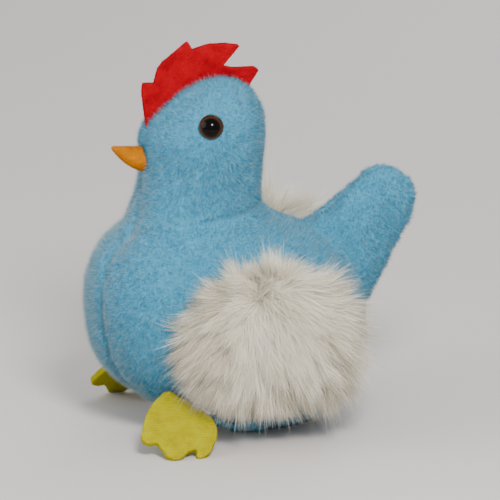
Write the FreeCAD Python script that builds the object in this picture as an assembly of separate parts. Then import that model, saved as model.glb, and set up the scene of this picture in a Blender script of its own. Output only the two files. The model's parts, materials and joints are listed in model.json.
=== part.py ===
"""Wind-up hopping chicken: a plush shell round a spring-driven hopping movement.

Millimetres, +Z up. The chicken faces -Y and its own left side is +X.
The origin lies on the flat seat that it rests on, under the middle plane of the body.
"""
import FreeCAD, Part
import math
import os

V = FreeCAD.Vector
OUT = "parts"

# ---- body envelope -------------------------------------------------------------
# level, front, back and half width of each horizontal section of the stuffed body
BODY_SECTIONS = [
    (0.6, -15.0, 49.0, 26.0),
    (6.0, -25.0, 54.0, 32.0),
    (16.0, -41.0, 59.5, 38.5),
    (32.0, -60.0, 66.0, 45.5),
    (52.0, -68.5, 69.0, 48.5),
    (70.0, -69.8, 67.0, 47.0),
    (84.0, -67.0, 59.0, 42.0),
    (94.0, -61.5, 47.0, 36.5),
    (101.0, -53.5, 30.0, 32.5),
    (109.0, -48.0, 20.0, 29.5),
    (120.0, -44.0, 16.8, 28.0),
    (134.0, -41.7, 18.0, 29.0),
    (148.0, -41.0, 19.5, 29.8),
    (159.0, -32.5, 18.0, 26.5),
    (167.0, -23.0, 13.5, 20.0),
    (172.0, -15.0, 8.0, 12.5),
    (174.6, -7.0, 1.5, 4.5),
]
# tail sections: centre (y, z), half depth along the tail's width, half thickness in X
TAIL_SECTIONS = [
    (36.0, 58.0, 25.0, 24.0),
    (55.0, 78.5, 26.5, 15.5),
    (70.5, 94.8, 21.4, 11.5),
    (79.8, 106.2, 19.0, 9.8),
    (86.0, 114.0, 16.0, 8.2),
    (89.6, 117.8, 11.5, 6.0),
    (91.6, 119.8, 5.5, 2.8),
]
TAIL_RISE = 47.0             # degrees above level
SKIN = 3.0                   # backing cloth and pile together
GUSSET_HALF = (5.0, 12.5)    # half width of the chest gusset at its foot and at its middle
GUSSET_LEVELS = (3.2, 80.0, 127.0)
BASE_TOP = 3.2               # top of the seat plate and of the base panel

# ---- trims ---------------------------------------------------------------------
WING_CENTRES = {1: (50.0, 9.0, 54.0), -1: (-50.0, 21.0, 59.0)}   # left, right
KEY_SWEEP_MARGIN = 1.0       # room between the turning key and the right wing
WING_HALF = (15.0, 42.0, 37.0)
EYE_CENTRE = (27.0, -14.0, 157.0)
EYE_AXIS = (0.925, -0.22, 0.31)
EYE_RADIUS, EYE_DOME = 6.0, 4.2
SHANK_RADIUS, SHANK_LENGTH = 1.5, 9.0
WASHER_RADIUS, WASHER_THICK = 5.5, 1.0
FELT = 1.6                   # one layer of comb felt
COMB_POINTS = [              # the comb's free edge, from the brow to the nape (y, z)
    (-39.0, 149.0), (-41.4, 169.0), (-40.8, 173.6), (-35.4, 173.2), (-33.8, 180.7),
    (-31.4, 184.0), (-18.8, 193.0), (-16.2, 188.9), (-7.8, 191.4), (0.2, 191.6),
    (6.3, 190.6), (-1.6, 180.4), (3.0, 179.0), (14.6, 178.6), (16.6, 177.0),
    (11.0, 168.0), (-8.0, 168.0), (-26.0, 156.0),
]
# the beak's sections: y, z, half width, half height; its top edge is straight
BEAK_SECTIONS = [
    (-34.0, 135.2, 7.5, 6.5),
    (-42.0, 136.0, 6.6, 5.9),
    (-48.0, 137.6, 5.0, 4.8),
    (-53.5, 140.3, 2.9, 2.6),
    (-56.8, 142.3, 1.0, 0.8),
]
BEAK_FELT = 1.2              # thickness of the beak's felt
SEAT_HALF = (22.0, 27.5)     # seat plate's half width and half length
SEAT_Y = 17.0

# ---- movement (all arbors run along X) -------------------------------------------
HOUSE_OUTLINE = [(8.0, 3.2), (38.0, 3.2), (50.5, 16.0), (50.5, 36.0), (46.5, 40.0),
                 (2.0, 40.0), (0.0, 38.0), (0.0, 12.0)]
HOUSE_HALF, HOUSE_WALL = 16.3, 1.5
HOUSE_ROOM = 0.4             # gap between the housing and the stuffing round it
FLANGE_REACH, FLANGE_HALF, FLANGE_THICK = 20.5, 10.0, 2.0   # housing's screw flanges on the seat
EAR_CENTRES = [(8.0, 42.2), (42.0, 42.2), (-2.2, 24.0), (52.7, 26.0)]
EAR_RADIUS, EAR_HALF = 3.0, 5.0
SCREW_R, SCREW_HEAD_R, SCREW_HEAD_THICK = 1.0, 1.9, 1.3
SEAT_RECESS = 1.6            # depth of the seat screws' recesses
PLATE_IN, PLATE_THICK = 11.0, 1.2
PLATE_OUTLINE = [(9.5, 6.0), (37.0, 6.0), (48.3, 17.5), (48.3, 34.0), (44.8, 37.5),
                 (4.0, 37.5), (2.2, 35.5), (2.2, 13.5)]
PILLARS = [(45.8, 34.6), (25.5, 34.6), (36.0, 9.2), (11.5, 9.4), (6.6, 35.0)]
PILLAR_RADIUS, TENON_RADIUS = 1.4, 0.9
MAIN = (36.0, 24.0)          # winding arbor, great wheel and mainspring (y, z)
GREAT_TEETH, CRANK_PINION_TEETH = 48, 12
CRANK_WHEEL_TEETH, ESCAPE_PINION_TEETH, ESCAPE_TEETH = 36, 10, 15
MODULE = 0.5
CRANK_BEARING, ESCAPE_BEARING, VERGE_BEARING = 193.0, 125.0, 200.0   # degrees from the last arbor
VERGE_DISTANCE = 9.0
LEG_PIVOT = (5.0, 13.0)
ARBOR_R, CRANK_R, ESCAPE_R, VERGE_R, LEG_SHAFT_R = 2.0, 1.2, 0.8, 0.7, 1.5
RUNNING = 0.05               # radial clearance of a running fit
# where each wheel starts and ends along X
GREAT_X, CLICK_X, CRANK_PINION_X = (-1.5, 0.0), (-3.0, -1.8), (-1.9, 0.5)
CRANK_WHEEL_X, ESCAPE_PINION_X = (-6.2, -5.0), (-6.7, -4.5)
ESCAPE_WHEEL_X, VERGE_X, PIN_X = (-9.2, -8.3), (-10.6, -9.7), (-9.7, -8.0)
CAM_X, MAINSPRING_X, LEG_SPRING_X = (12.6, 14.1), (1.4, 9.4), -14.5
RIVET_END, RIVET_R, RIVET_HEAD_R = -3.7, 0.6, 1.2
CLICK_BEARING, CLICK_DISTANCE, CLICK_HUB_R = 60.0, 8.6, 1.6
RATCHET_TEETH, RATCHET_TIP, RATCHET_ROOT = 12, 5.0, 4.1
ESCAPE_TIP, ESCAPE_ROOT = 6.5, 4.6
SPRING_INNER, SPRING_OUTER, SPRING_TURNS, SPRING_STRIP = 2.6, 11.2, 5, 0.5
LEG_COIL_R, LEG_COIL_WIRE, LEG_COIL_PITCH, LEG_COIL_TURNS = 2.6, 0.25, 0.62, 3
CAM_RADIUS, CAM_OFFSET = 4.5, 2.5
LEVER_ELBOW, LEVER_TIP, LEVER_WIDTH = (12.0, 27.2), (21.5, 30.6), 3.2
VERGE_REACH, VERGE_HUB_R, VERGE_ARM, PIN_R = 35.0, 2.2, 0.8, 0.4   # pins stand 35 degrees each way

# ---- key and legs ----------------------------------------------------------------
KEY_STEM_R, KEY_COLLAR_R = 2.6, 6.0
KEY_FIRST, KEY_SOCKET_END, KEY_BOW, KEY_LAST = -17.0, -24.0, -46.5, -62.0
KEY_LOBE_R, KEY_EYELET_R, KEY_SPAN, KEY_BLADE = 6.2, 2.8, 6.4, 1.8
COLLAR_X = (-43.5, -33.0)
LEG_X, LEG_THICK, LEG_WIDTH = 28.5, 2.0, 6.0
LEG_COLLAR_R, LEG_COLLAR_LENGTH = 3.0, 2.6
SLOT_LOW, SLOT_HIGH = (26.2, -41.0, 3.0), (31.1, 0.0, 23.0)   # the leg's slot in the skin
POCKET_LOW, POCKET_HIGH = (23.5, -41.0, 3.0), (31.3, 9.5, 23.0)   # its room in the stuffing
LEG_END = (-36.0, 18.5)      # front end of each leg's strip (y, z)
FOOT_SLOPE = 44.0            # degrees below level
FOOT_APEX = (33.5, -36.0, 26.0)
FOOT_THICK, FOOT_PLATE_THICK, FOOT_PLATE_SHARE = 3.2, 1.0, 0.72
FOOT_MIDDLE = 19.0           # how far down the foot its middle lies
FOOT_ARCS = [                # arcs across and along the foot: start, middle, end
    ((-4.6, 0.6), (-12.8, 8.6), (-18.2, 20.5)),
    ((-18.2, 20.5), (-17.4, 26.8), (-12.6, 26.6)),
    ((-12.6, 26.6), (-10.4, 30.4), (-9.0, 34.6)),
    ((-9.0, 34.6), (-4.8, 36.9), (0.8, 34.2)),
    ((0.8, 34.2), (3.4, 32.9), (6.2, 32.4)),
    ((6.2, 32.4), (6.5, 33.9), (6.0, 35.4)),
    ((6.0, 35.4), (6.4, 36.7), (7.8, 37.1)),
    ((7.8, 37.1), (12.0, 35.2), (15.2, 30.6)),
    ((15.2, 30.6), (18.6, 21.8), (15.0, 12.8)),
    ((15.0, 12.8), (8.8, 7.2), (1.6, 1.6)),
    ((1.6, 1.6), (-1.6, -0.5), (-4.6, 0.6)),
]


# ---- small tools -------------------------------------------------------------------
def save(name, shape):
    if not shape.isValid():
        shape.fix(0.01, 0.01, 0.01)
    solids = shape.Solids
    print(f"{name}: {len(solids)} solid(s), {shape.Volume:.1f} mm3, valid {shape.isValid()}")
    shape.exportStep(f"{OUT}/{name}.step")


def largest(shape):
    return max(shape.Solids, key=lambda solid: solid.Volume)


def lies_along_x(shape, x, centre):
    """Turns a shape drawn in the XY plane into the YZ plane, at level x on an arbor."""
    turn = FreeCAD.Matrix(0, 0, 1, x, 1, 0, 0, centre[0], 0, 1, 0, centre[1], 0, 0, 0, 1)
    return shape.transformed(turn, True)


def rod(radius, first, last, centre):
    low, high = min(first, last), max(first, last)
    return Part.makeCylinder(radius, high - low, V(low, centre[0], centre[1]), V(1, 0, 0))


def ring(radius, bore, first, last, centre):
    return rod(radius, first, last, centre).cut(rod(bore, first, last, centre))


def prism(points, first, last):
    """A prism along X from an outline of (y, z) points."""
    corners = [V(first, y, z) for y, z in points]
    face = Part.Face(Part.makePolygon(corners + corners[:1]))
    return face.extrude(V(last - first, 0, 0))


def box(low, high):
    return Part.makeBox(high[0] - low[0], high[1] - low[1], high[2] - low[2], V(*low))


def mirrored(shape):
    return shape.mirror(V(0, 0, 0), V(1, 0, 0))


def polar(centre, distance, degrees):
    turn = math.radians(degrees)
    return (centre[0] + distance * math.cos(turn), centre[1] + distance * math.sin(turn))


# ---- plush body ------------------------------------------------------------------------
def ellipse_wire(centre, long_axis, long_radius, short_axis, short_radius):
    if long_radius < short_radius:
        long_axis, short_axis = short_axis, long_axis
        long_radius, short_radius = short_radius, long_radius
    ellipse = Part.Ellipse(centre + long_axis * long_radius, centre + short_axis * short_radius, centre)
    return Part.Wire([ellipse.toShape()])


def body_solid(inset):
    wires = []
    for level, front, back, half in BODY_SECTIONS:
        if level == BODY_SECTIONS[-1][0]:
            level -= inset
        centre = V(0, (front + back) / 2, level)
        shrink = min(inset, half - 2.0)
        wires.append(ellipse_wire(centre, V(0, 1, 0), (back - front) / 2 - shrink,
                                  V(1, 0, 0), half - shrink))
    return Part.makeLoft(wires, True, False)


def tail_solid(inset):
    rise = math.radians(TAIL_RISE)
    along = V(0, math.cos(rise), math.sin(rise))
    across = V(0, -math.sin(rise), math.cos(rise))
    wires = []
    for y, z, deep, thick in TAIL_SECTIONS:
        shrink = min(inset, thick - 1.0)
        centre = V(0, y, z) - along * (inset if deep < 10 else 0)
        wires.append(ellipse_wire(centre, across, deep - shrink, V(1, 0, 0), thick - shrink))
    return Part.makeLoft(wires, True, False)


def envelope(inset):
    return body_solid(inset).fuse(tail_solid(inset)).removeSplitter()


def gusset_region():
    """A lens-shaped prism in front of the body that marks out the chest gusset."""
    foot, middle = GUSSET_HALF
    low, mid, top = GUSSET_LEVELS
    left_arc = Part.Arc(V(foot, 0, low), V(middle, 0, mid), V(0, 0, top)).toShape()
    right_arc = Part.Arc(V(0, 0, top), V(-middle, 0, mid), V(-foot, 0, low)).toShape()
    closing = Part.LineSegment(V(-foot, 0, low), V(foot, 0, low)).toShape()
    face = Part.Face(Part.Wire([left_arc, right_arc, closing]))
    return face.extrude(V(0, -90, 0))


def seat_hole(top):
    wire = ellipse_wire(V(0, SEAT_Y, 0), V(0, 1, 0), SEAT_HALF[1], V(1, 0, 0), SEAT_HALF[0])
    return Part.Face(wire).extrude(V(0, 0, top))


def leg_slot():
    return box(SLOT_LOW, SLOT_HIGH)


def base_zone():
    """Everything at the level of the base panel."""
    return box((-60, -80, -1), (60, 110, BASE_TOP))


def make_skin(outer, inner, eye_shanks):
    """The plush shell, cut into its panels by the same lines as its seams."""
    shell = outer.cut(inner)
    base = outer.common(base_zone()).cut(seat_hole(BASE_TOP + 1))
    shell = shell.cut(base_zone())
    for hole in [leg_slot(), mirrored(leg_slot()), key_hole(KEY_COLLAR_R)] + eye_shanks:
        shell = shell.cut(hole)
    lens = gusset_region()
    gusset = shell.common(lens)
    sides = shell.cut(lens)
    left = sides.common(box((0, -90, 0), (90, 120, 200)))
    right = sides.common(box((-90, -90, 0), (0, 120, 200)))
    save("left_panel", largest(left))
    save("right_panel", largest(right))
    save("chest_gusset", largest(gusset))
    save("base_panel", largest(base))


def key_hole(radius):
    return rod(radius, -HOUSE_HALF, -60, MAIN)


def make_stuffing(inner, eye_shanks):
    solid = inner.cut(base_zone())
    side, flange_side = HOUSE_HALF + HOUSE_ROOM, FLANGE_REACH + HOUSE_ROOM
    solid = solid.cut(prism(offset_inside(HOUSE_OUTLINE, -HOUSE_ROOM), -side, side))
    solid = solid.cut(box((-flange_side, SEAT_Y - FLANGE_HALF - HOUSE_ROOM, 2),
                          (flange_side, SEAT_Y + FLANGE_HALF + HOUSE_ROOM,
                           BASE_TOP + FLANGE_THICK + HOUSE_ROOM)))
    ear_end = EAR_HALF + SCREW_HEAD_THICK + HOUSE_ROOM
    for centre in EAR_CENTRES:
        solid = solid.cut(rod(EAR_RADIUS + HOUSE_ROOM, -ear_end, ear_end, centre))
    pocket = box(POCKET_LOW, POCKET_HIGH)
    tunnel = rod(LEG_SHAFT_R + HOUSE_ROOM, HOUSE_HALF, LEG_X, LEG_PIVOT)
    for hole in (pocket, mirrored(pocket), tunnel, mirrored(tunnel), key_hole(KEY_COLLAR_R + HOUSE_ROOM)):
        solid = solid.cut(hole)
    for shank in eye_shanks:
        solid = solid.cut(shank)
    save("stuffing", largest(solid))


def wing_pad(outer, side):
    """The left (1) or right (-1) fur pad, lying on the flank; the key's sweep is left free."""
    stretch = FreeCAD.Matrix()
    stretch.scale(*WING_HALF)
    pad = Part.makeSphere(1.0).transformGeometry(stretch)
    pad.translate(V(*WING_CENTRES[side]))
    pad = pad.cut(outer)
    if side < 0:
        pad = pad.cut(rod(KEY_LOBE_R + KEY_SPAN + KEY_SWEEP_MARGIN, -30, -90, MAIN))
    return largest(pad)


def make_wings(outer):
    save("left_wing", wing_pad(outer, 1))
    save("right_wing", wing_pad(outer, -1))


# ---- felt and eyes -------------------------------------------------------------------------
def make_comb(outer):
    for name, first, last in (("comb_left_layer", 0, FELT), ("comb_right_layer", -FELT, 0)):
        save(name, largest(prism(COMB_POINTS, first, last).cut(outer)))


def beak_cone(sections, shrink):
    wires = []
    for y, z, half, tall in sections:
        wires.append(ellipse_wire(V(0, y, z), V(1, 0, 0), half - shrink, V(0, 0, 1), tall - shrink))
    return Part.makeLoft(wires, True, False)


def make_beak(outer):
    """A cone of felt, sewn on by its root, and the filling inside it."""
    core = beak_cone(BEAK_SECTIONS[:-1], BEAK_FELT)
    save("beak", largest(beak_cone(BEAK_SECTIONS, 0).cut(core).cut(outer)))
    save("beak_filling", largest(core.cut(outer)))


def eye_tools(side):
    """Centre and outward axis of the left (1) or right (-1) eye."""
    return V(side * EYE_CENTRE[0], EYE_CENTRE[1], EYE_CENTRE[2]), V(side * EYE_AXIS[0], *EYE_AXIS[1:])


def make_eyes(outer):
    holes, washers = [], []
    for name, side in (("left_eye", 1), ("right_eye", -1)):
        centre, axis = eye_tools(side)
        back = centre + axis * 0.6
        ball_r = (EYE_RADIUS ** 2 + EYE_DOME ** 2) / (2 * EYE_DOME)
        ball = Part.makeSphere(ball_r, back + axis * (EYE_DOME - ball_r))
        dome = ball.common(Part.makeCylinder(EYE_RADIUS, EYE_DOME + 1, back, axis)).cut(outer)
        shank = Part.makeCylinder(SHANK_RADIUS, SHANK_LENGTH + 0.6, back - axis * SHANK_LENGTH, axis)
        save(name, largest(dome.fuse(shank).removeSplitter()))
        seat = back - axis * (SKIN + 3.2)
        disc = Part.makeCylinder(WASHER_RADIUS, WASHER_THICK, seat, axis)
        washers.append(disc.cut(shank))
        holes.append(shank.fuse(Part.makeCylinder(WASHER_RADIUS, WASHER_THICK, seat, axis)))
    save("eye_washers", Part.makeCompound(washers))
    return holes


# ---- housing and plates ------------------------------------------------------------------------
def offset_inside(points, amount):
    """Each corner of a convex outline moved in by amount on both of its sides."""
    moved = []
    for i, (y, z) in enumerate(points):
        before, after = points[i - 1], points[(i + 1) % len(points)]
        a = V(y - before[0], z - before[1], 0).normalize()
        b = V(after[0] - y, after[1] - z, 0).normalize()
        inward_a, inward_b = V(-a.y, a.x, 0), V(-b.y, b.x, 0)
        step = (inward_a + inward_b) * (amount / (1 + inward_a.dot(inward_b)))
        moved.append((y + step.x, z + step.y))
    return moved


def make_housing():
    inner_points = offset_inside(HOUSE_OUTLINE, HOUSE_WALL)
    cavity = prism(inner_points, -HOUSE_HALF + HOUSE_WALL, HOUSE_HALF - HOUSE_WALL)
    whole = prism(HOUSE_OUTLINE, -HOUSE_HALF, HOUSE_HALF)
    for y, z in EAR_CENTRES:
        whole = whole.fuse(rod(EAR_RADIUS, -EAR_HALF, EAR_HALF, (y, z)))
    for side in (1, -1):
        low, high = sorted((side * (HOUSE_HALF - 0.5), side * FLANGE_REACH))
        whole = whole.fuse(box((low, SEAT_Y - FLANGE_HALF, BASE_TOP),
                               (high, SEAT_Y + FLANGE_HALF, BASE_TOP + FLANGE_THICK)))
    whole = whole.cut(cavity)
    whole = whole.cut(rod(LEG_SHAFT_R + 0.5, -20, 20, LEG_PIVOT))
    whole = whole.cut(rod(KEY_STEM_R + 0.5, -20, -10, MAIN))
    for y, z in EAR_CENTRES:
        whole = whole.cut(rod(SCREW_R, -EAR_HALF - 1, EAR_HALF - HOUSE_WALL, (y, z)))
    for x, y in SEAT_SCREWS:
        whole = whole.cut(Part.makeCylinder(SCREW_R, FLANGE_THICK + 2, V(x, y, BASE_TOP - 1)))
    save("left_housing", largest(whole.common(box((0, -20, 0), (40, 80, 60)))))
    save("right_housing", largest(whole.common(box((-40, -20, 0), (0, 80, 60)))))
    screws = []
    for y, z in EAR_CENTRES:
        head = rod(SCREW_HEAD_R, -EAR_HALF - SCREW_HEAD_THICK, -EAR_HALF, (y, z))
        shank = rod(SCREW_R, -EAR_HALF, EAR_HALF - HOUSE_WALL, (y, z))
        screws.append(head.fuse(shank).removeSplitter())
    save("housing_screws", Part.makeCompound(screws))


SEAT_SCREWS = [(side * 18.2, SEAT_Y + step) for side in (-1, 1) for step in (-7.0, 7.0)]


def make_seat():
    plate = seat_hole(BASE_TOP)
    screws = []
    for x, y in SEAT_SCREWS:
        recess = Part.makeCylinder(SCREW_HEAD_R, SEAT_RECESS, V(x, y, 0))
        through = Part.makeCylinder(SCREW_R, BASE_TOP, V(x, y, 0))
        plate = plate.cut(recess).cut(through)
        head = Part.makeCylinder(SCREW_HEAD_R, SEAT_RECESS - 0.4, V(x, y, 0.4))
        shank = Part.makeCylinder(SCREW_R, BASE_TOP, V(x, y, SEAT_RECESS))
        screws.append(head.fuse(shank).removeSplitter())
    save("seat_plate", plate)
    save("seat_screws", Part.makeCompound(screws))


def make_plates():
    bearings = [(MAIN, ARBOR_R), (CRANK, CRANK_R), (ESCAPE, ESCAPE_R), (VERGE, VERGE_R),
                (LEG_PIVOT, LEG_SHAFT_R)]
    pillars = []
    for name, side in (("left_plate", 1), ("right_plate", -1)):
        first, last = side * PLATE_IN, side * (PLATE_IN + PLATE_THICK)
        plate = prism(PLATE_OUTLINE, first, last)
        for centre, radius in bearings:
            plate = plate.cut(rod(radius + RUNNING, first, last, centre))
        for centre in PILLARS:
            plate = plate.cut(rod(TENON_RADIUS, first, last, centre))
        save(name, plate)
    for centre in PILLARS:
        end = PLATE_IN + PLATE_THICK
        tenon = rod(TENON_RADIUS, -end, end, centre)
        pillars.append(rod(PILLAR_RADIUS, -PLATE_IN, PLATE_IN, centre).fuse(tenon).removeSplitter())
    save("pillars", Part.makeCompound(pillars))


# ---- wheels --------------------------------------------------------------------------------------
def involute_angle(base, radius):
    if radius <= base:
        return 0.0
    t = math.sqrt((radius / base) ** 2 - 1)
    return t - math.atan(t)


def toothed_disc(teeth, addendum, dedendum, first, last, centre, bore, lead, backlash=0.05):
    """A spur wheel with one tooth centred on the direction lead (degrees)."""
    pitch = MODULE * teeth / 2
    base, tip, root = pitch * math.cos(math.radians(20)), pitch + addendum, pitch - dedendum
    half_tooth = math.pi / (2 * teeth) - backlash / pitch
    at_pitch = involute_angle(base, pitch)

    def flank(radius, side, middle):
        half = half_tooth + at_pitch - involute_angle(base, radius)
        turn = middle + side * half
        return V(radius * math.cos(turn), radius * math.sin(turn), 0)

    edges = []
    for i in range(teeth):
        middle = math.radians(lead) + 2 * math.pi * i / teeth
        following = middle + 2 * math.pi / teeth
        points = [flank(r, -1, middle) for r in (root, pitch, tip)]
        back = [flank(r, 1, middle) for r in (tip, pitch, root)]
        crest = V(tip * math.cos(middle), tip * math.sin(middle), 0)
        gap_middle = (middle + following) / 2
        floor = V(root * math.cos(gap_middle), root * math.sin(gap_middle), 0)
        edges.append(Part.Arc(*points).toShape())
        edges.append(Part.Arc(points[2], crest, back[0]).toShape())
        edges.append(Part.Arc(*back).toShape())
        edges.append(Part.Arc(back[2], floor, flank(root, -1, following)).toShape())
    wheel = Part.Face(Part.Wire(edges)).extrude(V(0, 0, last - first))
    wheel = wheel.cut(Part.makeCylinder(bore, last - first))
    return lies_along_x(wheel, first, centre)


def saw_disc(teeth, tip, root, thick, bore, hook):
    """A ratchet or escape wheel: each tooth a straight face and a long sloping back."""
    points = []
    for i in range(teeth):
        turn = 2 * math.pi * i / teeth
        points.append(V(tip * math.cos(turn), tip * math.sin(turn), 0))
        low = turn + hook * 2 * math.pi / teeth
        points.append(V(root * math.cos(low), root * math.sin(low), 0))
    wheel = Part.Face(Part.makePolygon(points + points[:1])).extrude(V(0, 0, thick))
    return wheel.cut(Part.makeCylinder(bore, thick))


def spoke_holes(first, last, centre, hub, rim, count):
    """Round lightening holes between a wheel's hub and rim."""
    hole = (rim - hub) / 2 - 0.6
    return [rod(hole, first, last, polar(centre, (rim + hub) / 2, 360 * i / count + 20))
            for i in range(count)]


CRANK = polar(MAIN, MODULE * (GREAT_TEETH + CRANK_PINION_TEETH) / 2, CRANK_BEARING)
ESCAPE = polar(CRANK, MODULE * (CRANK_WHEEL_TEETH + ESCAPE_PINION_TEETH) / 2, ESCAPE_BEARING)
VERGE = polar(ESCAPE, VERGE_DISTANCE, VERGE_BEARING)
CLICK_PIVOT = polar(MAIN, CLICK_DISTANCE, CLICK_BEARING)


def make_great_wheel():
    first, last = GREAT_X
    wheel = toothed_disc(GREAT_TEETH, 0.36, 0.62, first, last, MAIN, ARBOR_R + RUNNING, CRANK_BEARING)
    for hole in spoke_holes(first, last, MAIN, 4.2, 10.8, 5)[1:]:
        wheel = wheel.cut(hole)
    wheel = wheel.cut(rod(RIVET_R, first, last, CLICK_PIVOT))
    save("great_wheel", wheel)
    head = rod(RIVET_HEAD_R, RIVET_END, CLICK_X[0] - RUNNING, CLICK_PIVOT)
    rivet = rod(RIVET_R, RIVET_END, last, CLICK_PIVOT).fuse(head)
    save("click_rivet", rivet.removeSplitter())
    make_click()
    make_click_spring(first)


def make_click():
    """The click's nose rests in a tooth of the ratchet wheel."""
    first, last = CLICK_X
    nose = polar(MAIN, RATCHET_TIP + 0.25, 98.0)
    heel = polar(MAIN, RATCHET_TIP + 1.5, 92.0)
    flank_a = polar(CLICK_PIVOT, CLICK_HUB_R - 0.1, 250)
    flank_b = polar(CLICK_PIVOT, CLICK_HUB_R - 0.1, 70)
    arm = prism([nose, flank_a, flank_b, heel], first, last)
    click = arm.fuse(rod(CLICK_HUB_R, first, last, CLICK_PIVOT))
    click = click.cut(rod(RIVET_R + RUNNING, first, last, CLICK_PIVOT))
    save("click", largest(click.removeSplitter()))


def make_click_spring(wheel_face):
    """A strip on a post of the great wheel, ending just above the click."""
    foot, tip = polar(MAIN, 9.6, 130.0), polar(MAIN, 7.6, 98.0)
    outline = [foot, tip, (tip[0], tip[1] + 0.35), (foot[0], foot[1] + 0.45)]
    strip = prism(outline, CLICK_X[0] + 0.4, CLICK_X[1] - 0.1)
    post = rod(0.8, CLICK_X[0] + 0.1, wheel_face, foot)
    save("click_spring", strip.fuse(post).removeSplitter())


def make_winding_arbor():
    save("winding_arbor", rod(ARBOR_R, KEY_SOCKET_END, PLATE_IN + PLATE_THICK + 0.6, MAIN))
    thick = CLICK_X[1] - CLICK_X[0]
    ratchet = saw_disc(RATCHET_TEETH, RATCHET_TIP, RATCHET_ROOT, thick, ARBOR_R, 0.12)
    save("ratchet_wheel", lies_along_x(ratchet, CLICK_X[0], MAIN))


def make_key():
    """A stem with a square-on flat bow of two pierced lobes, and the collar in the plush round it."""
    stem = rod(KEY_STEM_R, KEY_FIRST, KEY_BOW - 2, MAIN)
    half = KEY_BLADE / 2
    bow = rod(2.0, KEY_BOW + 1, KEY_LAST + 3, MAIN)
    bow = bow.common(box((-90, MAIN[0] - half, 0), (0, MAIN[0] + half, 60)))
    for side in (1, -1):
        lobe_at = V((KEY_BOW + KEY_LAST) / 2, MAIN[0] - half, MAIN[1] + side * KEY_SPAN)
        lobe = Part.makeCylinder(KEY_LOBE_R, KEY_BLADE, lobe_at, V(0, 1, 0))
        eyelet = Part.makeCylinder(KEY_EYELET_R, KEY_BLADE, lobe_at, V(0, 1, 0))
        bow = bow.fuse(lobe).cut(eyelet)
    socket = rod(ARBOR_R, KEY_FIRST, KEY_SOCKET_END, MAIN)
    save("winding_key", stem.cut(socket).fuse(bow).removeSplitter())
    save("key_collar", ring(KEY_COLLAR_R, KEY_STEM_R + HOUSE_ROOM, *COLLAR_X, MAIN))


def make_mainspring():
    """A flat spiral strip; each half turn is a half circle wider than the last."""
    pitch = (SPRING_OUTER - SPRING_INNER - SPRING_STRIP) / SPRING_TURNS

    def spiral(start):
        edges, radius, side, y = [], start, 1, 0.0
        for _ in range(2 * SPRING_TURNS):
            middle = V(y, side * radius, 0)
            end = V(y - radius, 0, 0) if side > 0 else V(y + radius, 0, 0)
            begin = V(y + radius, 0, 0) if side > 0 else V(y - radius, 0, 0)
            edges.append(Part.Arc(begin, middle, end).toShape())
            y += pitch / 4 if side > 0 else -pitch / 4
            radius += pitch / 4
            side = -side
        return edges

    inner, outer = spiral(SPRING_INNER), spiral(SPRING_INNER + SPRING_STRIP)
    caps = [Part.LineSegment(inner[0].Vertexes[0].Point, outer[0].Vertexes[0].Point).toShape(),
            Part.LineSegment(inner[-1].Vertexes[-1].Point, outer[-1].Vertexes[-1].Point).toShape()]
    face = Part.Face(Part.Wire(Part.__sortEdges__(inner + outer + caps)))
    width = MAINSPRING_X[1] - MAINSPRING_X[0]
    save("mainspring", lies_along_x(face.extrude(V(0, 0, width)), MAINSPRING_X[0], MAIN))


def make_crank():
    end = PLATE_IN + PLATE_THICK
    save("crank_arbor", rod(CRANK_R, -end, CAM_X[1] + 0.1, CRANK))
    gap_lead = CRANK_BEARING + 180 + 180 / CRANK_PINION_TEETH
    pinion = toothed_disc(CRANK_PINION_TEETH, 0.45, 0.62, *CRANK_PINION_X, CRANK, CRANK_R, gap_lead)
    save("crank_pinion", pinion)
    wheel = toothed_disc(CRANK_WHEEL_TEETH, 0.3, 0.6, *CRANK_WHEEL_X, CRANK, CRANK_R, ESCAPE_BEARING)
    for hole in spoke_holes(*CRANK_WHEEL_X, CRANK, 2.8, 8.0, 5):
        wheel = wheel.cut(hole)
    save("crank_wheel", wheel)
    eccentric = (CRANK[0] + CAM_OFFSET, CRANK[1])
    save("kick_cam", rod(CAM_RADIUS, *CAM_X, eccentric).cut(rod(CRANK_R, *CAM_X, CRANK)))


def make_escapement():
    end = PLATE_IN + PLATE_THICK
    save("escape_arbor", rod(ESCAPE_R, -end, end, ESCAPE))
    gap_lead = ESCAPE_BEARING + 180 + 180 / ESCAPE_PINION_TEETH
    pinion = toothed_disc(ESCAPE_PINION_TEETH, 0.4, 0.6, *ESCAPE_PINION_X, ESCAPE, ESCAPE_R, gap_lead)
    save("escape_pinion", pinion)
    thick = ESCAPE_WHEEL_X[1] - ESCAPE_WHEEL_X[0]
    wheel = saw_disc(ESCAPE_TEETH, ESCAPE_TIP, ESCAPE_ROOT, thick, ESCAPE_R, 0.5)
    save("escape_wheel", lies_along_x(wheel, ESCAPE_WHEEL_X[0], ESCAPE))
    save("verge_arbor", rod(VERGE_R, -end, end, VERGE))


def make_verge():
    """A hub with two arms, each with a pin that stands beside the escape wheel's teeth."""
    verge = rod(VERGE_HUB_R, *VERGE_X, VERGE)
    for side in (1, -1):
        pin_at = polar(ESCAPE, ESCAPE_TIP + 1.0, VERGE_BEARING + side * VERGE_REACH)
        arm = strip_between(VERGE, pin_at, 2 * VERGE_ARM, *VERGE_X)
        verge = verge.fuse(arm).fuse(rod(PIN_R, *PIN_X, pin_at))
    save("verge", largest(verge.cut(rod(VERGE_R, *VERGE_X, VERGE)).removeSplitter()))


# ---- legs and feet ---------------------------------------------------------------------------------
def foot_frame():
    slope = math.radians(FOOT_SLOPE)
    along = V(math.cos(slope), 0, -math.sin(slope))
    normal = V(math.sin(slope), 0, math.cos(slope))
    return V(*FOOT_APEX), along, normal


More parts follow.
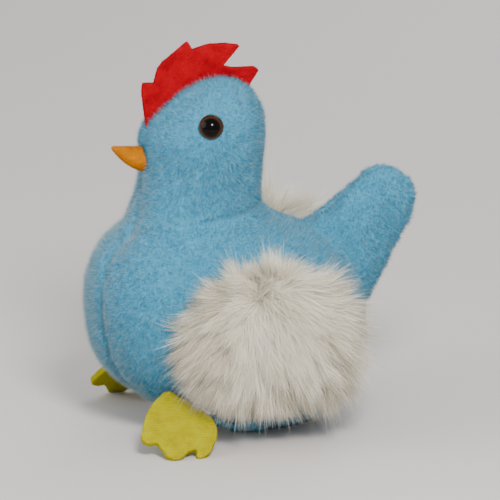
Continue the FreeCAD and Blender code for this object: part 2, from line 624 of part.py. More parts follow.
def foot_slab(shrink, low, high):
    """The foot's outline, shrunk about its middle, between two heights along its normal."""
    apex, along, normal = foot_frame()

    def at(point):
        across = point[0] * shrink
        down = FOOT_MIDDLE + (point[1] - FOOT_MIDDLE) * shrink
        return apex + along * down + V(0, 1, 0) * across + normal * low

    edges = [Part.Arc(at(a), at(b), at(c)).toShape() for a, b, c in FOOT_ARCS]
    return Part.Face(Part.Wire(edges)).extrude(normal * (high - low))


def strip_between(start, end, width, first, last):
    """A straight strip with round ends, lying in the YZ plane."""
    along = V(0, end[0] - start[0], end[1] - start[1]).normalize()
    side = V(0, -along.z, along.y) * (width / 2)
    corners = [(start[0] + side.y, start[1] + side.z), (end[0] + side.y, end[1] + side.z),
               (end[0] - side.y, end[1] - side.z), (start[0] - side.y, start[1] - side.z)]
    strip = prism(corners, first, last)
    return strip.fuse(rod(width / 2, first, last, start)).fuse(rod(width / 2, first, last, end))


def make_legs():
    first, last = LEG_X - LEG_THICK / 2, LEG_X + LEG_THICK / 2
    half = FOOT_PLATE_THICK / 2
    plate = foot_slab(FOOT_PLATE_SHARE, -half, half)
    cover = foot_slab(1.0, -FOOT_THICK / 2, FOOT_THICK / 2)
    tab = box((first, LEG_END[0] - 3, LEG_END[1] - 1), (44.2, LEG_END[0] + 3, LEG_END[1] + 0.5))
    apex, along, normal = foot_frame()
    under = Part.makeBox(200, 200, 100, V(-100, -100, -100))
    under.Placement = FreeCAD.Placement(apex, FreeCAD.Rotation(V(0, 0, 1), normal))
    arm = strip_between(LEG_PIVOT, LEG_END, LEG_WIDTH, first, last)
    arm = arm.cut(rod(LEG_SHAFT_R, first, last, LEG_PIVOT))
    leg = largest(arm.fuse(tab.common(under)).fuse(plate).removeSplitter())
    foot = largest(cover.cut(leg))
    save("left_leg", leg)
    save("right_leg", mirrored(leg))
    save("left_foot", foot)
    save("right_foot", mirrored(foot))


def make_leg_shaft():
    """The shaft that joins both legs, its two collars and the lever that the cam pushes."""
    end = LEG_X + LEG_THICK / 2 + 0.6
    save("leg_shaft", rod(LEG_SHAFT_R, -end, end, LEG_PIVOT))
    inner_face = LEG_X - LEG_THICK / 2
    collars = [ring(LEG_COLLAR_R, LEG_SHAFT_R, side * (inner_face - LEG_COLLAR_LENGTH),
                    side * inner_face, LEG_PIVOT) for side in (1, -1)]
    save("leg_collars", Part.makeCompound(collars))
    lever = strip_between(LEG_PIVOT, LEVER_ELBOW, LEVER_WIDTH, *CAM_X)
    lever = lever.fuse(strip_between(LEVER_ELBOW, LEVER_TIP, LEVER_WIDTH, *CAM_X))
    save("leg_lever", lever.cut(rod(LEG_SHAFT_R, *CAM_X, LEG_PIVOT)).removeSplitter())


def make_leg_spring():
    path = Part.Wire(Part.makeHelix(LEG_COIL_PITCH, LEG_COIL_PITCH * LEG_COIL_TURNS, LEG_COIL_R))
    section = Part.Wire([Part.Circle(V(LEG_COIL_R, 0, 0), V(0, 1, 0), LEG_COIL_WIRE).toShape()])
    coil = path.makePipeShell([section], True, True)
    save("leg_spring", lies_along_x(coil, LEG_SPRING_X, LEG_PIVOT))


def main():
    os.makedirs(OUT, exist_ok=True)
    outer, inner = envelope(0.0), envelope(SKIN)
    eye_holes = make_eyes(outer)
    make_skin(outer, inner, eye_holes)
    make_stuffing(inner, eye_holes)
    make_wings(outer)
    make_comb(outer)
    make_beak(outer)
    make_seat()
    make_housing()
    make_plates()
    make_great_wheel()
    make_winding_arbor()
    make_key()
    make_mainspring()
    make_crank()
    make_escapement()
    make_verge()
    make_legs()
    make_leg_shaft()
    make_leg_spring()


main()
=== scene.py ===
import json
import math

import bmesh
import bpy
import numpy as np
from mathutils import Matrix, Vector
from mathutils.kdtree import KDTree


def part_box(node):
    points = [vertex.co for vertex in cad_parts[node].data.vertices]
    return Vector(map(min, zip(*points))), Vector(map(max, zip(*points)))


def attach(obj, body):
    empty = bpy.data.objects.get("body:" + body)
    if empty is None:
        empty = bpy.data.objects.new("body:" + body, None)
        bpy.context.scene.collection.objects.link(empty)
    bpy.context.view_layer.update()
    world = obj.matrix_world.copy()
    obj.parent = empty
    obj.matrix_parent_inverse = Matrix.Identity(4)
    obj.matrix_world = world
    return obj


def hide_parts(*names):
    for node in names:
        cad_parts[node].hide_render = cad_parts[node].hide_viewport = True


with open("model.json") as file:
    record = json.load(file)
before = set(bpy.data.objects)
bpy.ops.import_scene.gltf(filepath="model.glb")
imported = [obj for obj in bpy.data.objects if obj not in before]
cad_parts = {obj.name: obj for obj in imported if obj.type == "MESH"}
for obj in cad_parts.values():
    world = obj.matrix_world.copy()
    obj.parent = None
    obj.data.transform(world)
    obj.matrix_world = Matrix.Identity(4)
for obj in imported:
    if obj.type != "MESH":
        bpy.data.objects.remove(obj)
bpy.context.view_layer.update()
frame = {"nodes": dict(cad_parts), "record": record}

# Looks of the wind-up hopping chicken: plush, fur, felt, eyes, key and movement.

MM = 0.001
UP = Vector((0, 0, 1))
WELD = 1e-7                   # points closer than this are one point
NODES = frame["nodes"]
SKIN_NODES = ["left_panel", "right_panel", "chest_gusset", "base_panel"]


# ---- numbers from the frame, and the lines of the sewn seams as the CAD has them -------
def span(node):
    """The low and high corners of a CAD node's box."""
    low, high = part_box(node)
    return np.array(low), np.array(high)


GUSSET_FOOT = span("chest_gusset")[0][2]
GUSSET_MIDDLE = 80.0 * MM
GUSSET_TOP = 127.0 * MM
GUSSET_FOOT_HALF = 5.0 * MM   # half width of the gusset at its foot
GUSSET_HALF = 12.5 * MM       # half width at its middle level
NECK_LEVEL = 112.0 * MM
COMB_FOOT = span("comb_left_layer")[0][2]     # where the comb starts on the brow


def rng(seed):
    return np.random.default_rng(seed)


# ---- mesh helpers ----------------------------------------------------------------------
def new_object(name, mesh, body=None):
    obj = bpy.data.objects.new(name, mesh)
    bpy.context.scene.collection.objects.link(obj)
    mesh.shade_smooth()
    if body:
        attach(obj, body)
    return obj


def mesh_from(name, points, faces):
    mesh = bpy.data.meshes.new(name)
    mesh.from_pydata([tuple(p) for p in points], [], [tuple(int(i) for i in f) for f in faces])
    mesh.update()
    return mesh


def gathered(name, nodes, hulls=()):
    """One mesh holding copies of CAD nodes, and the convex hulls of other groups of nodes."""
    work = bmesh.new()
    for node in nodes:
        work.from_mesh(NODES[node].data)
    for group in hulls:
        solid = bmesh.new()
        for node in group:
            solid.from_mesh(NODES[node].data)
        made = bmesh.ops.convex_hull(solid, input=solid.verts)
        inside = made["geom_interior"] + made["geom_unused"]
        spare = [v for v in inside if isinstance(v, bmesh.types.BMVert)]
        bmesh.ops.delete(solid, geom=spare, context="VERTS")
        part = bpy.data.meshes.new("hull")
        solid.to_mesh(part)
        solid.free()
        work.from_mesh(part)
        bpy.data.meshes.remove(part)
    bmesh.ops.remove_doubles(work, verts=work.verts, dist=WELD)
    mesh = bpy.data.meshes.new(name)
    work.to_mesh(mesh)
    work.free()
    return mesh


def through_modifiers(mesh, *steps):
    """The mesh after a stack of modifiers, each given as (type, settings)."""
    obj = bpy.data.objects.new("work", mesh)
    bpy.context.scene.collection.objects.link(obj)
    for kind, settings in steps:
        modifier = obj.modifiers.new(kind, kind)
        for key, value in settings.items():
            setattr(modifier, key, value)
    graph = bpy.context.evaluated_depsgraph_get()
    result = bpy.data.meshes.new_from_object(obj.evaluated_get(graph))
    bpy.data.objects.remove(obj)
    return result


def largest_part(mesh):
    """Keeps only the tallest connected part."""
    work = bmesh.new()
    work.from_mesh(mesh)
    work.verts.ensure_lookup_table()
    seen, best, best_size = set(), [], -1.0
    for start in work.verts:
        if start in seen:
            continue
        part, todo = [], [start]
        seen.add(start)
        while todo:
            vert = todo.pop()
            part.append(vert)
            for edge in vert.link_edges:
                other = edge.other_vert(vert)
                if other not in seen:
                    seen.add(other)
                    todo.append(other)
        heights = [v.co.z for v in part]
        size = max(heights) - min(heights) + len(part) * 1e-9
        if size > best_size:
            best, best_size = part, size
    keep = set(best)
    bmesh.ops.delete(work, geom=[v for v in work.verts if v not in keep], context="VERTS")
    work.to_mesh(mesh)
    work.free()
    return mesh


def coordinates(mesh):
    points = np.empty(len(mesh.vertices) * 3, np.float32)
    mesh.vertices.foreach_get("co", points)
    return points.reshape(-1, 3).astype(float)


def vertex_normals(mesh):
    normals = np.empty(len(mesh.vertices) * 3, np.float32)
    mesh.vertices.foreach_get("normal", normals)
    return normals.reshape(-1, 3).astype(float)


def set_coordinates(mesh, points):
    mesh.vertices.foreach_set("co", points.astype(np.float32).ravel())
    mesh.update()


LUMP_WAVES = 9


def lumps(points, size, seed):
    """Smooth noise, mostly between -1 and 1, whose lumps are about size across."""
    draw = rng(seed)
    total = np.zeros(len(points))
    for _ in range(LUMP_WAVES):
        way = draw.normal(size=3)
        way /= np.linalg.norm(way)
        wave = 2 * math.pi / size * draw.uniform(0.6, 1.5)
        total += np.sin(points @ way * wave + draw.uniform(0, 2 * math.pi))
    return total / 3.6


def ridge(distance, width):
    """1 at no distance, falling smoothly to almost 0 at twice the width."""
    return np.exp(-(distance / width) ** 2)


def soft_step(value, low, high):
    """0 below low, 1 above high, and a smooth rise between them."""
    t = np.clip((value - low) / (high - low), 0, 1)
    return t * t * (3 - 2 * t)


# ---- materials -------------------------------------------------------------------------
class Nodes:
    """A material's node tree with a Principled shader, built by short calls."""

    def __init__(self, name, color, roughness, **sockets):
        self.material = bpy.data.materials.new(name)
        self.material.use_nodes = True
        self.tree = self.material.node_tree
        self.tree.nodes.clear()
        self.out = self.tree.nodes.new("ShaderNodeOutputMaterial")
        self.shader = self.tree.nodes.new("ShaderNodeBsdfPrincipled")
        self.link(self.shader.outputs[0], self.out.inputs["Surface"])
        self.shader.inputs["Base Color"].default_value = (*color, 1)
        self.shader.inputs["Roughness"].default_value = roughness
        for key, value in sockets.items():
            self.shader.inputs[key.replace("_", " ")].default_value = value
        self.where = self.tree.nodes.new("ShaderNodeTexCoord").outputs["Object"]

    def link(self, a, b):
        self.tree.links.new(a, b)

    def noise(self, scale, detail=3, rough=0.55, distortion=0.0, where=None):
        n = self.tree.nodes.new("ShaderNodeTexNoise")
        n.inputs["Scale"].default_value = scale
        n.inputs["Detail"].default_value = detail
        n.inputs["Roughness"].default_value = rough
        n.inputs["Distortion"].default_value = distortion
        self.link(where or self.where, n.inputs["Vector"])
        return n.outputs["Fac"]

    def cells(self, scale):
        n = self.tree.nodes.new("ShaderNodeTexVoronoi")
        n.inputs["Scale"].default_value = scale
        self.link(self.where, n.inputs["Vector"])
        return n.outputs["Distance"]

    def stretched(self, scale):
        n = self.tree.nodes.new("ShaderNodeMapping")
        n.inputs["Scale"].default_value = scale
        self.link(self.where, n.inputs["Vector"])
        return n.outputs["Vector"]

    def ramp(self, factor, *stops):
        n = self.tree.nodes.new("ShaderNodeValToRGB")
        ramp = n.color_ramp
        while len(ramp.elements) < len(stops):
            ramp.elements.new(0.5)
        for element, (place, color) in zip(ramp.elements, stops):
            element.position = place
            element.color = (*color, 1)
        self.link(factor, n.inputs["Fac"])
        return n.outputs["Color"]

    def math(self, operation, a, b=None):
        n = self.tree.nodes.new("ShaderNodeMath")
        n.operation = operation
        for socket, value in zip(n.inputs, (a, b)):
            if value is None:
                continue
            if isinstance(value, (int, float)):
                socket.default_value = value
            else:
                self.link(value, socket)
        return n.outputs[0]

    def mix(self, factor, a, b):
        n = self.tree.nodes.new("ShaderNodeMix")
        n.data_type = "RGBA"
        for socket, value in ((n.inputs[0], factor), (n.inputs[6], a), (n.inputs[7], b)):
            if isinstance(value, (int, float)):
                socket.default_value = value
            elif isinstance(value, tuple):
                socket.default_value = (*value, 1)
            else:
                self.link(value, socket)
        return n.outputs[2]

    def color(self, socket):
        self.link(socket, self.shader.inputs["Base Color"])

    def roughness(self, factor, low, high):
        n = self.tree.nodes.new("ShaderNodeMapRange")
        n.inputs["To Min"].default_value = low
        n.inputs["To Max"].default_value = high
        self.link(factor, n.inputs["Value"])
        self.link(n.outputs[0], self.shader.inputs["Roughness"])

    def bump(self, height, strength, distance):
        n = self.tree.nodes.new("ShaderNodeBump")
        n.inputs["Strength"].default_value = strength
        n.inputs["Distance"].default_value = distance
        self.link(height, n.inputs["Height"])
        earlier = self.shader.inputs["Normal"]
        if earlier.is_linked:
            self.link(earlier.links[0].from_socket, n.inputs["Normal"])
        self.link(n.outputs[0], self.shader.inputs["Normal"])


def plush_backing():
    m = Nodes("plush_backing", (0.07, 0.32, 0.50), 0.95, Sheen_Weight=0.15, Sheen_Roughness=0.5)
    broad = m.noise(60, 4)
    fine = m.noise(650, 4, 0.7)
    tone = m.ramp(broad, (0.3, (0.045, 0.27, 0.43)), (0.7, (0.06, 0.32, 0.49)))
    m.color(m.mix(m.math("MULTIPLY", fine, 0.6), tone, (0.085, 0.37, 0.53)))
    m.bump(fine, 0.6, 0.0012)
    m.bump(m.cells(420), 0.3, 0.001)
    return m.material


def strand(name, color, sheen=0.0, roughness=0.85):
    """One plain tone of fibre: a coat is mottled by mixing several tones."""
    m = Nodes(name, color, roughness, Sheen_Weight=sheen, Sheen_Roughness=0.4, Specular_IOR_Level=0.15)
    return m.material


def felt(name, dark, mid, light):
    """Matted wool in uneven patches; returned open, so that a piece can add to it."""
    m = Nodes(name, mid, 0.95, Specular_IOR_Level=0.04)
    matted = m.noise(900, 6, 0.75, 0.6)
    patches = m.noise(160, 4, 0.6)
    threads = m.noise(500, 5, 0.8, 2.5, where=m.stretched((1.0, 0.35, 1.0)))
    base = m.ramp(patches, (0.25, dark), (0.55, mid), (0.85, light))
    m.color(m.mix(m.math("MULTIPLY", threads, 0.35), base, light))
    m.bump(matted, 0.7, 0.0006)
    m.bump(threads, 0.45, 0.0005)
    m.roughness(matted, 0.85, 1.0)
    return m


def metal(name, color, roughness, grime=(0.05, 0.045, 0.04)):
    """Metal with upright brush lines, dull worn patches and fine specks."""
    m = Nodes(name, color, roughness, Metallic=1.0)
    worn = m.noise(220, 6, 0.65)
    lines = m.noise(900, 3, 0.6, where=m.stretched((1.0, 1.0, 0.05)))
    specks = m.noise(2600, 2, 0.5)
    dull = m.ramp(worn, (0.35, grime), (0.62, color))
    m.color(m.mix(0.25, color, dull))
    m.roughness(m.math("ADD", m.math("MULTIPLY", lines, 0.6), m.math("MULTIPLY", worn, 0.4)),
                max(0.05, roughness - 0.12), roughness + 0.18)
    m.bump(lines, 0.12, 0.0001)
    m.bump(specks, 0.08, 0.0001)
    return m.material


def plastic(name, color, roughness):
    """Moulded plastic with a fine spark-eroded grain."""
    m = Nodes(name, color, roughness, Coat_Weight=0.05)
    flow = m.noise(70, 3, 0.5)
    spark = m.noise(900, 3, 0.6)
    darker = tuple(c * 0.82 for c in color)
    m.color(m.ramp(flow, (0.3, darker), (0.7, color)))
    m.roughness(spark, roughness - 0.06, roughness + 0.12)
    m.bump(spark, 0.25, 0.0001)
    return m.material


def dress(node, material):
    """Puts a material on every slot of a CAD node."""
    obj = NODES[node]
    if not obj.material_slots:
        obj.data.materials.append(None)
    for place in obj.material_slots:
        place.link = "OBJECT"
        place.material = material


# ---- body ------------------------------------------------------------------------------
BACKING_INSET = 0.7 * MM      # how far the backing cloth lies under the CAD surface
SKIN_VOXEL = 1.3 * MM
CLOTH_VOXEL = 4.5 * MM
CLOTH_FRAMES = 20
CLOTH_CAP = 2.6 * MM          # the most that the simulation may move a point
PIN_WIDTH = 2.6 * MM          # points this near a seam are held still
NEIGHBOURS = 6                # how many cloth points each skin point follows
SLOT_MIDDLE = 28.5 * MM       # the legs' slots in the underside: distance from the middle plane,
SLOT_HALF = 5.2 * MM          # half of the width that is left as the CAD has it,
SLOT_BARE = 3.6 * MM          # and half of the width without pile
GROOVE_WIDTH, GROOVE_DEPTH = 1.8 * MM, 2.9 * MM      # the seam itself
PILLOW_WIDTH, PILLOW_DEPTH = 4.8 * MM, 1.0 * MM      # the wider dip on both sides of it
PUCKER_WIDTH, PUCKER_DEPTH = 6.0 * MM, 0.7 * MM      # the puckers along it
PUCKER_SIZE = 7.0 * MM
CREASE_WIDTH, CREASE_DEPTH = 1.5 * MM, 1.1 * MM      # the crease across the neck
CREASE_SWAY, CREASE_WAVE = 1.6 * MM, 12 * MM
FOLD_WIDTH, FOLD_DEPTH = 1.5 * MM, 0.9 * MM          # the short fold up the side of the head
FOLD_PLACE, FOLD_LOW, FOLD_HIGH = 4.0 * MM, 158.0 * MM, 172.0 * MM
STUFFING_LUMPS = ((34 * MM, 0.55 * MM, 5), (12 * MM, 0.18 * MM, 6))      # size, height and seed
CROWN_RISE = 2.2 * MM         # how much the pile stands up beside the comb
CROWN_HALF = 6.5 * MM         # how far to each side of the comb it does


def gusset_edge(level):
    """Half width of the chest gusset at a level: the arc through its foot, middle and top."""
    p1 = np.array([GUSSET_FOOT_HALF, GUSSET_FOOT])
    p2 = np.array([GUSSET_HALF, GUSSET_MIDDLE])
    p3 = np.array([0.0, GUSSET_TOP])
    a, b = p2 - p1, p3 - p1
    d = 2 * (a[0] * b[1] - a[1] * b[0])
    centre = p1 + np.array([b[1] * (a @ a) - a[1] * (b @ b), a[0] * (b @ b) - b[0] * (a @ a)]) / d
    radius = np.linalg.norm(p1 - centre)
    return np.maximum(0, centre[0] + np.sqrt(np.maximum(0, radius ** 2 - (level - centre[1]) ** 2)))


def seam_distance(points):
    """Distance to the nearest sewn seam: the gusset's edges, the middle plane or the base."""
    x, y, z = points.T
    gusset = (y < -2 * MM) & (z < GUSSET_TOP + 2 * MM)
    away = np.where(gusset, np.abs(np.abs(x) - gusset_edge(z)), np.abs(x))
    return np.minimum(away, np.abs(z - GUSSET_FOOT))


def crown(points):
    """1 on the head beside the comb, where the pile rises round the comb's base; 0 elsewhere."""
    x, y, z = points.T
    brow = 0.25 + 0.75 * soft_step(-y, -4 * MM, 20 * MM)
    return soft_step(z, COMB_FOOT - 3 * MM, COMB_FOOT + 5 * MM) * ridge(x, CROWN_HALF) * brow


def at_slots(points):
    """1 round the legs' slots in the underside, where the skin is thin; 0 elsewhere."""
    x, y, z = points.T
    rear, top = span("left_leg")[1][1:]
    beside = 1 - soft_step(np.abs(np.abs(x) - SLOT_MIDDLE), SLOT_HALF, SLOT_HALF + 3 * MM)
    behind = soft_step(y, rear + 3 * MM, rear + 7 * MM)
    return beside * (1 - behind) * (1 - soft_step(z, top, top + 6 * MM))


def cloth_swell(mesh):
    """How cloth under pressure, held at its seams, bulges: rest points and their moves."""
    coarse = through_modifiers(mesh.copy(), ("REMESH", {"mode": "VOXEL", "voxel_size": CLOTH_VOXEL}))
    coarse = largest_part(coarse)
    rest = coordinates(coarse)
    obj = bpy.data.objects.new("cloth_work", coarse)
    bpy.context.scene.collection.objects.link(obj)
    pins = obj.vertex_groups.new(name="seams")
    pins.add([int(i) for i in np.nonzero(seam_distance(rest) < PIN_WIDTH)[0]], 1.0, "REPLACE")
    cloth = obj.modifiers.new("cloth", "CLOTH")
    settings = cloth.settings
    settings.quality = 8
    settings.mass = 0.02
    settings.tension_stiffness = settings.compression_stiffness = 25
    settings.shear_stiffness = 8
    settings.bending_stiffness = 0.4
    settings.use_pressure = True
    settings.uniform_pressure_force = 4
    settings.effector_weights.gravity = 0
    settings.vertex_group_mass = "seams"
    cloth.point_cache.frame_start, cloth.point_cache.frame_end = 1, CLOTH_FRAMES
    scene = bpy.context.scene
    for step in range(1, CLOTH_FRAMES + 1):
        scene.frame_set(step)
    graph = bpy.context.evaluated_depsgraph_get()
    swollen = coordinates(obj.evaluated_get(graph).data)
    bpy.data.objects.remove(obj)
    scene.frame_set(1)
    move = swollen - rest
    size = np.linalg.norm(move, axis=1)[:, None]
    move *= np.minimum(1, CLOTH_CAP / np.maximum(size, 1e-9))
    return rest, move


def carried(points, rest, move):
    """The moves of a coarse mesh, spread over other points near it."""
    tree = KDTree(len(rest))
    for i, place in enumerate(rest):
        tree.insert(place, i)
    tree.balance()
    result = np.zeros_like(points)
    for i, point in enumerate(points):
        found = tree.find_n(point, NEIGHBOURS)
        weights = np.array([1 / (far + 0.5 * MM) ** 2 for _, _, far in found])
        result[i] = weights @ move[[index for _, index, _ in found]] / weights.sum()
    return result


def swelling(mesh, points, normals):
    rest, move = cloth_swell(mesh)
    bulge = np.sum(carried(points, rest, move) * normals, axis=1)
    return bulge - np.median(bulge)


def sewn_relief(points):
    """Height of the skin over its smooth form: seams, puckers, creases and the rise at the comb."""
    x, y, z = points.T
    away = seam_distance(points)
    beside_comb = crown(points)
    groove = ridge(away, GROOVE_WIDTH) * GROOVE_DEPTH
    pillow = ridge(away, PILLOW_WIDTH) * PILLOW_DEPTH * (1 - beside_comb)
    pucker = ridge(away, PUCKER_WIDTH) * PUCKER_DEPTH * lumps(points, PUCKER_SIZE, 4) * (1 - beside_comb)
    crease_level = NECK_LEVEL + CREASE_SWAY * np.sin(y / CREASE_WAVE)
    crease = ridge(z - crease_level, CREASE_WIDTH) * CREASE_DEPTH
    crease *= soft_step(y, -26 * MM, -14 * MM) * (1 - soft_step(y, 26 * MM, 32 * MM))
    fold = ridge(y - FOLD_PLACE, FOLD_WIDTH) * FOLD_DEPTH
    fold *= soft_step(z, FOLD_LOW, FOLD_LOW + 4 * MM) * (z < FOLD_HIGH)
    return beside_comb * CROWN_RISE + pucker - groove - pillow - crease - fold


def body_mesh():
    """The plush panels and the stuffing as one sewn, stuffed skin."""
    housings = ["left_housing", "right_housing"]
    filled = [housings, ["key_collar"], ["eye_washers"]]
    mesh = gathered("plush_body", SKIN_NODES + ["stuffing"], hulls=filled)
    mesh = through_modifiers(mesh, ("REMESH", {"mode": "VOXEL", "voxel_size": SKIN_VOXEL}))
    mesh = largest_part(mesh)
    mesh = through_modifiers(mesh, ("SMOOTH", {"factor": 0.5, "iterations": 6}))
    points, normals = coordinates(mesh), vertex_normals(mesh)
    loose = sum(lumps(points, size, seed) * height for size, height, seed in STUFFING_LUMPS)
    loose = (loose + swelling(mesh, points, normals)) * soft_step(points[:, 2], 3 * MM, 10 * MM)
    offset = (sewn_relief(points) - BACKING_INSET + loose) * (1 - at_slots(points))
    set_coordinates(mesh, points + normals * offset[:, None])
    return mesh


body = new_object("plush_body", body_mesh(), "root")
body.data.materials.clear()
body.data.materials.append(plush_backing())
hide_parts(*SKIN_NODES, "stuffing")


# ---- fibres ----------------------------------------------------------------------------
def surface_samples(mesh, count, seed, weight=None):
    """Random points on a mesh with their normals, spread by area times the weight at each place."""
    mesh.calc_loop_triangles()
    corners = np.empty(len(mesh.loop_triangles) * 3, np.int32)
    mesh.loop_triangles.foreach_get("vertices", corners)
    corners = corners.reshape(-1, 3)
    points, normals = coordinates(mesh), vertex_normals(mesh)
    a, b, c = (points[corners[:, i]] for i in range(3))
    area = np.linalg.norm(np.cross(b - a, c - a), axis=1)
    if weight is not None:
        area = area * weight((a + b + c) / 3)
    draw = rng(seed)
    chosen = draw.choice(len(area), size=count, p=area / area.sum())
    u, v = draw.random(count), draw.random(count)
    flip = u + v > 1
    u[flip], v[flip] = 1 - u[flip], 1 - v[flip]
    w = 1 - u - v
    mixed = [w[:, None], u[:, None], v[:, None]]
    place = sum(m * points[corners[chosen, i]] for i, m in enumerate(mixed))
    normal = sum(m * normals[corners[chosen, i]] for i, m in enumerate(mixed))
    return place, unit(normal)


def unit(vectors):
    return vectors / np.maximum(np.linalg.norm(vectors, axis=1), 1e-12)[:, None]


def nearest(seeds, points):
    """For each point, the index of the nearest seed."""
    tree = KDTree(len(seeds))
    for i, seed in enumerate(seeds):
        tree.insert(seed, i)
    tree.balance()
    return np.array([tree.find(p)[1] for p in points])


def fast_mesh(name, points, triangles, material):
    mesh = bpy.data.meshes.new(name)
    mesh.vertices.add(len(points))
    mesh.vertices.foreach_set("co", points.astype(np.float32).ravel())
    mesh.loops.add(len(triangles) * 3)
    mesh.loops.foreach_set("vertex_index", triangles.astype(np.int32).ravel())
    mesh.polygons.add(len(triangles))
    mesh.polygons.foreach_set("loop_start", np.arange(len(triangles), dtype=np.int32) * 3)
    mesh.update(calc_edges=True)
    mesh.materials.append(material)
    return mesh


def spikes(name, roots, ways, lengths, radius, material):
    """One mesh of straight three-sided fibres that taper to a point."""
    count = len(roots)
    side = unit(np.cross(ways, rng(len(name) + count).normal(size=(count, 3))))
    other = np.cross(ways, side)
    points = np.empty((count, 4, 3))
    for i in range(3):
        turn = 2 * math.pi * i / 3
        points[:, i] = roots + (side * math.cos(turn) + other * math.sin(turn)) * radius
    points[:, 3] = roots + ways * lengths[:, None]
    first = np.arange(count)[:, None] * 4
    faces = np.concatenate([first + [0, 1, 3], first + [1, 2, 3], first + [2, 0, 3]])
    return fast_mesh(name, points.reshape(-1, 3), faces, material)


def mesh_area(mesh):
    return sum(p.area for p in mesh.polygons)


SEAT_CLEAR = 1.0 * MM         # no pile below this level,
EYE_CLEAR = 5.0 * MM          # this near an eye's middle,
WING_CLEAR = 0.66             # or within this share of a wing pad's outline


def bare_spots(points):
    """True where plush pile grows: not at the eyes, the wing pads, the legs' slots or the seat."""
    keep = points[:, 2] > SEAT_CLEAR
    for node in ("left_eye", "right_eye"):
        low, high = span(node)
        side = math.copysign(1, low[0] + high[0])
        middle = (low + high) / 2
        away = np.linalg.norm((points - middle)[:, 1:], axis=1)
        keep &= (away > EYE_CLEAR) | (points[:, 0] * side < 0)
    for low, high in (span("left_leg"), span("right_leg")):
        near = np.abs(np.abs(points[:, 0]) - SLOT_MIDDLE) < SLOT_BARE
        keep &= ~(near & (points[:, 1] > low[1]) & (points[:, 1] < high[1]) & (points[:, 2] < high[2]))
    for node in ("left_wing", "right_wing"):
        low, high = span(node)
        middle, half = (low + high) / 2, (high - low) / 2
        flat = np.linalg.norm(((points - middle) / half)[:, 1:], axis=1)
        keep &= (flat > WING_CLEAR) | (points[:, 0] * middle[0] < 0)
    return keep


PILE_TONES = {        # colour, number of fibres, length, radius, share of the nap's lean
    "pile_mid": ((0.038, 0.272, 0.435), 64000, 2.1 * MM, 0.105 * MM, 1.0),
    "pile_light": ((0.052, 0.30, 0.465), 64000, 2.2 * MM, 0.10 * MM, 1.0),
    "pile_deep": ((0.032, 0.248, 0.408), 60000, 2.0 * MM, 0.105 * MM, 1.0),
    # the two long pale tones are painted sheen: pale fibres that crowd at the outline and on the chest
    # gusset
    "pile_fuzz": ((0.30, 0.44, 0.48), 64000, 3.1 * MM, 0.032 * MM, 0.15),
    "pile_haze": ((0.38, 0.50, 0.53), 64000, 3.5 * MM, 0.028 * MM, 0.12),
}
NAP = (0.0, 0.06, -0.14)      # the pile leans back and down
TUFT_SPACING = 1.5 * MM
TUFT_PULL = 0.12              # how much a fibre leans to its tuft's middle
STROKE_SIZE, STROKE_LEAN = 26 * MM, 0.16      # the broad strokes in which the pile is brushed
SHEEN_MORE = 2.4               # how many more of the pale fibres of painted sheen grow at the gusset
PARTING = 1.6 * MM            # the pile is shorter this near a seam
FLOOR_GAP = 0.2 * MM          # fibres end this far over the floor


def painted_sheen_places(points):
    """More of the long pale fibres, a painted sheen, grow on and beside the chest gusset."""
    x, y, z = points.T
    past_seam = soft_step(np.abs(x) - gusset_edge(z), 1 * MM, 16 * MM)
    in_front = (y < 0) * (1 - soft_step(z, GUSSET_TOP, GUSSET_TOP + 15 * MM))
    return 1 + SHEEN_MORE * (1 - past_seam) * in_front


def plush_pile(mesh):
    """Short pile in five tones: it leans in broad strokes, gathers in small tufts, parts at seams."""
    tufts, tuft_normals = surface_samples(mesh, int(mesh_area(mesh) / TUFT_SPACING ** 2), 90)
    stroke = np.stack([lumps(tufts, STROKE_SIZE, 91 + i) for i in range(3)], axis=1) * STROKE_LEAN
    tuft_ways = unit(tuft_normals + np.array(NAP) + stroke + rng(95).normal(size=tufts.shape) * 0.10)
    for seed, (tone, (color, count, length, radius, lean)) in enumerate(PILE_TONES.items()):
        roots, normals = surface_samples(mesh, count, 10 + seed, painted_sheen_places if lean < 1 else None)
        kept = bare_spots(roots)
        roots, normals = roots[kept], normals[kept]
        draw = rng(20 + seed)
        mine = nearest(tufts, roots)
        beside_comb = crown(roots)
        ways = normals * (1 - lean) + (tuft_ways[mine] + draw.normal(size=roots.shape) * 0.22) * lean
        ways[:, 0] -= np.sign(roots[:, 0]) * 0.5 * beside_comb
        ways = unit(ways)
        at_seam = ridge(seam_distance(roots), PARTING) * (1 - beside_comb)
        lengths = length * draw.uniform(0.75, 1.1, len(roots)) * (1 - 0.6 * at_seam + 0.45 * beside_comb)
        tips = roots + ways * lengths[:, None]
        goal = tufts[mine] + tuft_ways[mine] * length
        tips += (goal - tips) * TUFT_PULL * lean
        tips[:, 2] = np.maximum(tips[:, 2], FLOOR_GAP)
        lengths = np.linalg.norm(tips - roots, axis=1)
        ways = unit(tips - roots)
        coat = spikes(tone, roots, ways, lengths, radius, strand(tone, color))
        new_object("body_" + tone, coat, "root")


plush_pile(body.data)


# ---- fur wings -------------------------------------------------------------------------
FUR_TONES = {          # colour and share of the strands
    "fur_white": ((0.88, 0.83, 0.71), 0.38),
    "fur_warm": ((0.74, 0.685, 0.56), 0.36),
    # the darkest tone also paints shade towards the pad's rim
    "fur_shade": ((0.46, 0.415, 0.325), 0.26),
}
FUR_STRANDS = 60000
FUR_LOCKS = 620
FUR_WIDTH = 0.20 * MM
FUR_LENGTH = (12.0 * MM, 18.0 * MM)
FUR_STRAY, STRAY_TIMES = 0.07, 1.3            # share of strands that are longer than the rest
REAR_LONGER, RISEN_LONGER, LOW_SHORTER = 0.35, 0.40, 0.42
FUR_SEGMENTS = 4
FUR_CROWN = 13.0 * MM         # how far above the pad's middle the fur parts
FUR_RISE = {"left_wing": 0.0, "right_wing": 1.0}   # how much the upper fur is brushed up
FUR_SPREAD = 30 * MM          # from the parting to where strands lie flattest
FUR_UPRIGHT, FUR_FLATTER = 0.80, 0.38         # how upright strands are at the parting, and less at the rim
